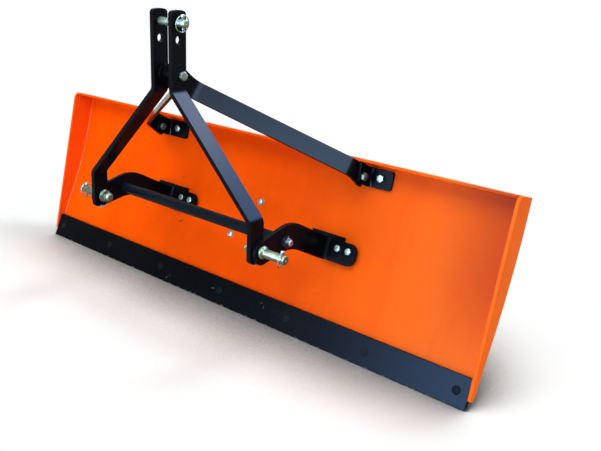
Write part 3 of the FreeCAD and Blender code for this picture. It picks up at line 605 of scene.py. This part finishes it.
def makeScatterTree():
    tree = bpy.data.node_groups.new("boltsOnSpots", "GeometryNodeTree")
    tree.interface.new_socket("Geometry", in_out="INPUT", socket_type="NodeSocketGeometry")
    tree.interface.new_socket("Bolt", in_out="INPUT", socket_type="NodeSocketObject")
    tree.interface.new_socket("Finish", in_out="INPUT", socket_type="NodeSocketMaterial")
    tree.interface.new_socket("Geometry", in_out="OUTPUT", socket_type="NodeSocketGeometry")
    source, sink = addNode(tree, "NodeGroupInput"), addNode(tree, "NodeGroupOutput")
    points = addNode(tree, "GeometryNodeMeshToPoints")
    facing = addNode(tree, "GeometryNodeInputNamedAttribute", data_type="FLOAT_VECTOR")
    facing.inputs["Name"].default_value = "facing"
    turn = addNode(tree, "GeometryNodeInputNamedAttribute", data_type="FLOAT")
    turn.inputs["Name"].default_value = "turn"
    aim = addNode(tree, "FunctionNodeAlignRotationToVector", axis="Z")
    spin = addNode(tree, "FunctionNodeRotateRotation", rotation_space="LOCAL")
    twist = addNode(tree, "FunctionNodeAxisAngleToRotation")
    twist.inputs["Axis"].default_value = (0, 0, 1)
    bolt = addNode(tree, "GeometryNodeObjectInfo", transform_space="ORIGINAL")
    place = addNode(tree, "GeometryNodeInstanceOnPoints")
    solid = addNode(tree, "GeometryNodeRealizeInstances")
    finish = addNode(tree, "GeometryNodeSetMaterial")
    link = tree.links.new
    link(source.outputs["Geometry"], points.inputs["Mesh"])
    link(points.outputs[0], place.inputs["Points"])
    link(source.outputs["Bolt"], bolt.inputs["Object"])
    link(bolt.outputs["Geometry"], place.inputs["Instance"])
    link(facing.outputs["Attribute"], aim.inputs["Vector"])
    link(aim.outputs[0], spin.inputs["Rotation"])
    link(turn.outputs["Attribute"], twist.inputs["Angle"])
    link(twist.outputs[0], spin.inputs["Rotate By"])
    link(spin.outputs[0], place.inputs["Rotation"])
    link(place.outputs[0], solid.inputs["Geometry"])
    link(solid.outputs[0], finish.inputs["Geometry"])
    link(source.outputs["Finish"], finish.inputs["Material"])
    link(finish.outputs[0], sink.inputs["Geometry"])
    return tree


scatterTree = makeScatterTree()


def socketKey(tree, label):
    return next(item.identifier for item in tree.interface.items_tree
                if item.item_type == "SOCKET" and item.in_out == "INPUT" and item.name == label)


def bakeModifier(name, thing):
    # the tree's result becomes a plain mesh and rides on the implement
    result = thing.evaluated_get(bpy.context.evaluated_depsgraph_get())
    mesh = bpy.data.meshes.new_from_object(result)
    mesh.name = name
    piece = bpy.data.objects.new(name, mesh)
    scene.collection.objects.link(piece)
    bpy.data.objects.remove(thing)
    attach(piece, "root")
    print(name, len(mesh.polygons), "faces")
    return piece


def scatter(name, bolt, spots, finish):
    # spots are (place, facing, turn in degrees)
    mesh = bpy.data.meshes.new(name + "Spots")
    mesh.from_pydata([spot[0] for spot in spots], [], [])
    mesh.attributes.new("facing", "FLOAT_VECTOR", "POINT")
    mesh.attributes.new("turn", "FLOAT", "POINT")
    for k, spot in enumerate(spots):
        mesh.attributes["facing"].data[k].vector = spot[1]
        mesh.attributes["turn"].data[k].value = math.radians(spot[2])
    thing = bpy.data.objects.new(name + "Spots", mesh)
    scene.collection.objects.link(thing)
    modifier = thing.modifiers.new("bolts", "NODES")
    modifier.node_group = scatterTree
    modifier[socketKey(scatterTree, "Bolt")] = bolt
    modifier[socketKey(scatterTree, "Finish")] = materials[finish]
    bakeModifier(name, thing)
    bpy.data.objects.remove(bolt)


def makeWeldTree():
    # a rippled bead along every marked line
    tree = bpy.data.node_groups.new("beadsOnLines", "GeometryNodeTree")
    tree.interface.new_socket("Geometry", in_out="INPUT", socket_type="NodeSocketGeometry")
    tree.interface.new_socket("Radius", in_out="INPUT", socket_type="NodeSocketFloat").default_value = 0.003
    tree.interface.new_socket("Step", in_out="INPUT", socket_type="NodeSocketFloat").default_value = 0.0016
    tree.interface.new_socket("Pitch", in_out="INPUT", socket_type="NodeSocketFloat").default_value = 0.006
    tree.interface.new_socket("Finish", in_out="INPUT", socket_type="NodeSocketMaterial")
    tree.interface.new_socket("Geometry", in_out="OUTPUT", socket_type="NodeSocketGeometry")
    source, sink = addNode(tree, "NodeGroupInput"), addNode(tree, "NodeGroupOutput")
    curve = addNode(tree, "GeometryNodeMeshToCurve")
    even = addNode(tree, "GeometryNodeResampleCurve", mode="LENGTH")
    along = addNode(tree, "GeometryNodeSplineParameter")
    patches = addNode(tree, "ShaderNodeTexNoise")
    patches.inputs["Scale"].default_value = 90.0
    profile = addNode(tree, "GeometryNodeCurvePrimitiveCircle")
    profile.inputs["Resolution"].default_value = 8
    profile.inputs["Radius"].default_value = 1.0
    bead = addNode(tree, "GeometryNodeCurveToMesh")
    bead.inputs["Fill Caps"].default_value = True
    solid = addNode(tree, "GeometryNodeRealizeInstances")
    finish = addNode(tree, "GeometryNodeSetMaterial")
    link = tree.links.new
    link(source.outputs["Geometry"], curve.inputs[0])
    link(curve.outputs[0], even.inputs[0])
    link(source.outputs["Step"], even.inputs["Length"])
    waves = calc(tree, "DIVIDE", along.outputs["Length"], source.outputs["Pitch"])
    beat = calc(tree, "MULTIPLY", waves, 2 * math.pi)
    ripple = calc(tree, "MULTIPLY", calc(tree, "SINE", beat), 0.14)
    uneven = calc(tree, "MULTIPLY", calc(tree, "SUBTRACT", patches.outputs[0], 0.5), 0.5)
    factor = calc(tree, "ADD", 1.0, calc(tree, "ADD", ripple, uneven))
    link(calc(tree, "MULTIPLY", source.outputs["Radius"], factor), bead.inputs["Scale"])
    link(even.outputs[0], bead.inputs["Curve"])
    link(profile.outputs[0], bead.inputs["Profile Curve"])
    link(bead.outputs[0], solid.inputs["Geometry"])
    link(solid.outputs[0], finish.inputs["Geometry"])
    link(source.outputs["Finish"], finish.inputs["Material"])
    link(finish.outputs[0], sink.inputs["Geometry"])
    return tree


weldTree = makeWeldTree()


def weld(name, lines, finish, radius):
    # lines are lists of places that the bead follows
    mesh = bpy.data.meshes.new(name + "Lines")
    places, edges = [], []
    for line in lines:
        edges += [(len(places) + k, len(places) + k + 1) for k in range(len(line) - 1)]
        places += line
    mesh.from_pydata(places, edges, [])
    thing = bpy.data.objects.new(name + "Lines", mesh)
    scene.collection.objects.link(thing)
    modifier = thing.modifiers.new("beads", "NODES")
    modifier.node_group = weldTree
    modifier[socketKey(weldTree, "Radius")] = radius
    modifier[socketKey(weldTree, "Finish")] = materials[finish]
    bakeModifier(name, thing).data.shade_smooth()


def keep(thing, slot, *replaced):
    # a hand-made piece joins the implement, in the place of CAD nodes if any are named
    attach(thing, "root")
    if replaced:
        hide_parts(*replaced)
    print(thing.name, len(thing.data.polygons), "faces")


def sideways(side, y, z, x=0.0):
    # turns a lathe's axis to the right (side 1) or the left (side -1)
    return Matrix.Translation((x, y + barMiddle, z)) @ Matrix.Rotation(math.radians(90 * side), 4, "Y")


def thread(low, high, radius, pitch=0.00175, depth=0.0007):
    # profile of a threaded length: ridges, as a lathe sees them
    turns = int((high - low) / pitch)
    profile = []
    for k in range(turns):
        at = low + k * pitch
        profile += [(radius - depth, at), (radius, at + pitch * 0.45), (radius, at + pitch * 0.6)]
    return profile + [(radius - depth, low + turns * pitch)]


hitchPin = {
    "y": 0.009, "z": 0.294, "radius": 0.011, "inner": 0.259, "legInside": 0.287, "armOutside": 0.309,
    "collarRadius": 0.0165, "collarEnd": 0.318, "outer": 0.381, "chamfer": 0.002,
}
hitchNut = {"flatWasher": (0.0175, 0.0028, 0.0), "springWasher": (0.0150, 0.003, 0.0029), "gap": 0.02,
            "hexagon": (0.0275, 0.0138, 0.0060), "turn": 0.4}


def makeHitchPins(pin):
    # threaded inside the leg, a tapered collar outside the arm, then the free shank
    bm = bmesh.new()
    r, c = pin["radius"], pin["chamfer"]
    wide, start, end, tip = (pin[k] for k in ("collarRadius", "armOutside", "collarEnd", "outer"))
    for side in (-1, 1):
        profile = [(0, pin["inner"]), (r - c, pin["inner"]), (r - 0.0007, pin["inner"] + c)]
        profile += thread(pin["inner"] + c, pin["legInside"] - 0.001, r)
        profile += [(r, pin["legInside"]), (r, start), (wide - 0.0008, start), (wide, start + 0.0008),
                    (wide, start + 0.0035), (wide - 0.0015, end - 0.002), (r + 0.0014, end),
                    (r + 0.0003, end + 0.0012), (r, end + 0.003), (r, tip - c), (r - c * 0.3, tip - c * 0.35),
                    (r - c, tip), (0.0024, tip), (0.0008, tip - 0.0016), (0, tip - 0.0018)]
        lathe(bm, profile, 40, sideways(side, pin["y"], pin["z"]))
    keep(meshObject("hitchPins", bm, materials["yellowZinc"], 30), "yellow_zinc", "lower_pins")


def makeHitchNuts(pin, nut):
    # flat washer, split spring washer and nut on the inside of each leg
    bm = bmesh.new()
    for side in (-1, 1):
        face = sideways(-side, pin["y"], pin["z"], side * pin["legInside"])
        washer(bm, *nut["flatWasher"], face)
        washer(bm, *nut["springWasher"], face @ Matrix.Rotation(nut["gap"], 4, "X"))
        hexHead(bm, *nut["hexagon"], face @ Matrix.Rotation(nut["turn"], 4, "Z"))
    keep(meshObject("hitchNuts", bm, materials["yellowZinc"], 30), "yellow_zinc", "lower_pin_nuts")


makeHitchPins(hitchPin)
makeHitchNuts(hitchPin, hitchNut)

lynchPin = {
    "stem": 0.0034, "tip": -0.0182, "head": 0.0050, "headLow": 0.0118, "headHigh": 0.0208, "wire": 0.0013,
    "ring": 0.0192, "hang": 0.0012,
    "places": (
        {"spot": (0.052, 0.0, 0.793), "turn": -3, "swing": 7, "lean": 3},
        {"spot": (0.369, 0.009, 0.294), "turn": 20, "swing": 9, "lean": -4},
        {"spot": (-0.369, 0.009, 0.294), "turn": 176, "swing": 8, "lean": 3},
    ),
}


def addRing(bm, radius, wire, matrix, around=48, sides=10):
    # a ring of round wire, standing in the Y-Z plane about the matrix's origin
    loops = []
    for k in range(around):
        angle = 2 * math.pi * k / around
        out = Vector((0, math.cos(angle), math.sin(angle)))
        turns = [2 * math.pi * j / sides for j in range(sides)]
        loops.append([bm.verts.new(matrix @ (out * (radius + wire * math.cos(t))
                                             + Vector((wire * math.sin(t), 0, 0)))) for t in turns])
    for k in range(around):
        here, after = loops[k], loops[(k + 1) % around]
        for j in range(sides):
            bm.faces.new((here[j], here[(j + 1) % sides], after[(j + 1) % sides], after[j]))


def makeLynchPins(part):
    # a straight stem through the shank, a round head above it and a sprung ring that snaps below
    bm = bmesh.new()
    s, h, tip, low, high = (part[k] for k in ("stem", "head", "tip", "headLow", "headHigh"))
    for place in part["places"]:
        x, y, z = place["spot"]
        here = (Matrix.Translation((x, y + barMiddle, z))
                @ Matrix.Rotation(math.radians(place["turn"]), 4, "Z")
                @ Matrix.Rotation(math.radians(place["lean"]), 4, "X"))
        lathe(bm, [(0, tip), (s * 0.45, tip), (s * 0.85, tip + 0.002), (s, tip + 0.0045), (s, low - 0.0006),
                   (h * 0.8, low), (h, low + 0.0012), (h, high - 0.0022), (h * 0.82, high - 0.0006),
                   (h * 0.45, high), (0, high)], 24, here)
        hinge = Matrix.Translation((0, 0, part["ring"] - part["hang"]))
        swing = hinge @ Matrix.Rotation(math.radians(place["swing"]), 4, "Y") @ hinge.inverted()
        centre = Matrix.Translation((0, 0, -part["hang"]))
        addRing(bm, part["ring"], part["wire"], here @ swing @ centre)
    keep(meshObject("lynchPins", bm, materials["ringZinc"], 40), "bright_zinc", "lynch_pins")


makeLynchPins(lynchPin)

topPin = {"z": 0.793, "radius": 0.0095, "headRadius": 0.015, "headFace": 0.046, "plateFace": 0.038,
          "outer": 0.064}


def makeTopPin(pin):
    bm = bmesh.new()
    r, wide, top, plate, tip = (pin[k] for k in ("radius", "headRadius", "headFace", "plateFace", "outer"))
    lathe(bm, [(0, -top), (wide - 0.0025, -top), (wide - 0.0007, -top + 0.0007), (wide, -top + 0.0025),
               (wide, -plate - 0.0015), (wide - 0.001, -plate), (r, -plate), (r, tip - 0.002),
               (r - 0.0006, tip - 0.0007), (r - 0.002, tip), (0.002, tip), (0, tip - 0.0014)],
          40, sideways(1, 0.0, pin["z"]))
    keep(meshObject("topPin", bm, materials["brightZinc"], 30), "bright_zinc", "top_link_pin")


makeTopPin(topPin)

mastBolt = {"y": 0.010, "z": 0.670, "radius": 0.007, "face": 0.038, "across": 0.020, "head": 0.0075,
            "nut": 0.0125, "end": 0.056, "washer": (0.0135, 0.0022)}


def makeMastBolt(bolt):
    bm = bmesh.new()
    r, face = bolt["radius"], bolt["face"]
    right = sideways(1, bolt["y"], bolt["z"])
    left = sideways(-1, bolt["y"], bolt["z"])
    lathe(bm, [(0, -face), (r, -face), (r, face), (0, face)], 28, right)
    lathe(bm, [(0, face)] + thread(face, bolt["end"] - 0.0016, r, 0.0016, 0.0006) +
          [(r - 0.0014, bolt["end"]), (0, bolt["end"])], 28, left)
    hexHead(bm, bolt["across"], bolt["head"], face, right @ Matrix.Rotation(0.2, 4, "Z"))
    washer(bm, *bolt["washer"], face, left)
    hexHead(bm, bolt["across"], bolt["nut"] - 0.0024, face + 0.0023, left @ Matrix.Rotation(0.5, 4, "Z"))
    keep(meshObject("mastBolt", bm, materials["brightZinc"], 30), "bright_zinc", "mast_bolt")


makeMastBolt(mastBolt)

crossRod = {"y": 0.092, "z": 0.299, "radius": 0.008, "face": 0.309, "across": 0.027, "nut": 0.0115,
            "collar": 0.0112, "dome": 0.0175, "end": 0.329}


def makeCrossRod(rod):
    # lock nuts: hexagon, round collar and the rod's end standing out of it
    nuts, ends = bmesh.new(), bmesh.new()
    r, face, collar = rod["radius"], rod["face"], rod["collar"]
    top, dome = face + rod["nut"], face + rod["dome"]
    for side in (-1, 1):
        here = sideways(side, rod["y"], rod["z"])
        hexHead(nuts, rod["across"], rod["nut"], face, here @ Matrix.Rotation(0.3, 4, "Z"))
        lathe(nuts, [(0, top - 0.001), (collar, top - 0.001), (collar, top + 0.0025),
                     (collar - 0.0012, dome - 0.0012), (r + 0.0003, dome), (r, dome - 0.001)], 36, here)
        lathe(ends, [(0, 0), (r, 0), (r, rod["end"] - 0.0012), (r - 0.0014, rod["end"]),
                     (0.0018, rod["end"]), (0, rod["end"] - 0.0008)], 28, here)
    keep(meshObject("rodNuts", nuts, materials["blackZinc"], 30), "black_zinc", "cross_rod")
    keep(meshObject("rodEnds", ends, materials["bareSteel"], 30), "black_zinc")


makeCrossRod(crossRod)


def hexBolt(across, head, washerRadius=0.0, domed=0.0):
    # a head for scatter, standing on the surface at height 0; washerRadius 0 leaves the washer out
    bm = bmesh.new()
    base = 0.0
    if washerRadius:
        washer(bm, washerRadius, 0.0018)
        base = 0.0018
    hexHead(bm, across, head, base, domed=domed)
    return meshObject("hexBolt", bm, materials["brightZinc"], 30)


def nutWithEnd(across, nut, washerRadius, end):
    # washer, nut and the threaded end of the bolt, standing on the surface at height 0
    bm = bmesh.new()
    washer(bm, washerRadius, 0.002)
    hexHead(bm, across, nut, 0.002)
    r = across * 0.31
    top = nut + 0.002
    lathe(bm, [(0, top - 0.001)] + thread(top - 0.001, top + end - 0.001, r, 0.0015, 0.0005) +
          [(r - 0.0012, top + end), (0, top + end)], 24)
    return meshObject("nutWithEnd", bm, materials["brightZinc"], 30)


def onBoard(x, angle, lift, rise=0.0):
    # a place before the hollow front (or behind it, for a lift below 0), rise along the sheet
    spot, facing = boardSpot(x, angle)
    up = Vector((0, math.sin(math.radians(angle)), math.cos(math.radians(angle))))
    return spot + facing * lift + up * rise, facing


bracketSpots = {"angle": 12.5, "lift": 0.0083, "rise": 0.002, "foot": (0.4175, -0.334),
                "legs": (0.384, -0.374), "struts": (0.368, -0.390), "boltOut": 0.041, "across": 0.019}
footSpots = {"angle": 21.5, "lift": 0.0188, "rise": 0.008, "places": (0.347, 0.381, -0.247, -0.211),
             "head": (0.0165, 0.0072)}
sheetSpots = {"places": ((-0.0324, 23.65), (0.046, 18.68)), "head": (0.0155, 0.0066, 0.0095)}
sheetBack = 0.0062  # from the front of the 6 mm sheet to the nuts behind it


def behind(spot, facing):
    # the same place on the back of the sheet, facing the other way
    return spot - facing * sheetBack, -facing


def makeBolts(bracket, foot, sheet):
    lean = math.radians(bracket["angle"])
    root, _ = boardSpot(0, bracket["angle"])
    outwards = Vector((0, -math.cos(lean), math.sin(lean)))
    crossing = root + outwards * (bracket["boltOut"] + bracket["lift"] - 0.008)
    heads = [(*onBoard(x, bracket["angle"], bracket["lift"], bracket["rise"]), turn)
             for x, turn in zip(bracket["foot"], (12, 40))]
    heads += [(Vector((x, crossing.y, crossing.z)), Vector((1, 0, 0)), turn)
              for x, turn in zip(bracket["legs"], (25, 5))]
    scatter("bracketBolts", hexBolt(bracket["across"], 0.0085, domed=0.0006), heads,
            "brightZinc")
    nuts = [(Vector((x, crossing.y, crossing.z)), Vector((-1, 0, 0)), turn)
            for x, turn in zip(bracket["struts"], (15, 50))]
    nuts += [(*behind(*onBoard(x, bracket["angle"], 0.0, bracket["rise"])), 20) for x in bracket["foot"]]
    scatter("bracketNuts", nutWithEnd(bracket["across"], 0.0115, 0.0125, 0.004), nuts,
            "brightZinc")
    feet = [(*onBoard(x, foot["angle"], foot["lift"], foot["rise"]), 17 + 23 * k)
            for k, x in enumerate(foot["places"])]
    scatter("footBolts", hexBolt(*foot["head"], domed=0.0005), feet, "brightZinc")
    spots = [(*onBoard(x, angle, 0.0), 10 + 35 * k) for k, (x, angle) in enumerate(sheet["places"])]
    scatter("sheetBolts", hexBolt(*sheet["head"], 0.0005), spots, "brightZinc")


makeBolts(bracketSpots, footSpots, sheetSpots)

plowBolts = {"spots": (-0.760, -0.5067, -0.2533, 0.0, 0.2533, 0.5067, 0.760), "height": 0.0385,
             "radius": 0.0103, "proud": 0.0018, "through": 0.0182, "nut": (0.0175, 0.010, 0.0125, 0.0035)}


def makePlowBolts(part):
    # round heads let into the cutting edge, with nuts behind the sheet
    bm = bmesh.new()
    r, h = part["radius"], part["proud"]
    lathe(bm, [(0, -0.001), (r + 0.0006, -0.001), (r + 0.0006, 0.0001), (r, 0.0003), (r * 0.97, h * 0.6),
               (r * 0.86, h * 0.9), (r * 0.5, h), (0, h * 1.03)], 32)
    bolt = meshObject("plowBolt", bm, materials["boltPaint"])
    spots = [(*edgeSpot(x, part["height"]), 0) for x in part["spots"]]
    scatter("plowBolts", bolt, spots, "boltPaint")
    backs = [(spot - facing * part["through"], -facing, 11 * k) for k, (spot, facing, _) in enumerate(spots)]
    scatter("plowNuts", nutWithEnd(*part["nut"]), backs, "blackZinc")


makePlowBolts(plowBolts)

# boardTop and backTop are the sheet's lean in degrees where the beads end
weldRuns = {"plateInside": 0.792, "edgeTop": 0.077, "boardTop": 11.5, "backTop": 12.6, "flatTop": 0.172,
            "ribFaces": (0.375, 0.383), "ribLow": 0.066, "channelSide": 0.060, "channelLow": 0.114,
            "railAngles": (18.93, 21.07), "railRuns": ((0.061, 0.374), (0.384, 0.749)), "sheet": 0.006,
            "frontRadius": 0.0022, "backRadius": 0.003}


def makeWelds(runs):
    # beads in the corners: end plates in front, ribs, channel and rails behind
    lean = math.radians(blade["lean"])
    facing = Vector((0, -math.cos(lean), math.sin(lean)))

    def flatPlace(x, height, lift):
        spot, _ = edgeSpot(x, height)
        return spot + facing * (lift - blade["edgeThick"])

    def hollow(x, last, lift, steps):
        first = blade["lean"]
        angles = [first + (last - first) * k / steps for k in range(steps + 1)]
        return [onBoard(x, a, lift)[0] for a in angles]

    def upright(x, low):
        places = [flatPlace(x, height, -runs["sheet"]) for height in (low, runs["flatTop"])]
        return places + hollow(x, runs["backTop"], -runs["sheet"], 24)

    front, back = [], []
    for side in (-1, 1):
        x = side * runs["plateInside"]
        front.append([flatPlace(x, runs["edgeTop"], 0.0), flatPlace(x, blade["flatEnd"] - 0.002, 0.0)]
                     + hollow(x, runs["boardTop"], 0.0, 32))
        back += [upright(side * face, runs["ribLow"]) for face in runs["ribFaces"]]
        back.append(upright(side * runs["channelSide"], runs["channelLow"]))
        for angle in runs["railAngles"]:
            for near, far in runs["railRuns"]:
                back.append([onBoard(side * (near + (far - near) * k / 6), angle, -runs["sheet"])[0]
                             for k in range(7)])
    # the front beads take the paler seam orange, a painted highlight
    weld("plateWelds", front, "highlightSeamPaint", runs["frontRadius"])
    weld("backWelds", back, "orangePaint", runs["backRadius"])


makeWelds(weldRuns)
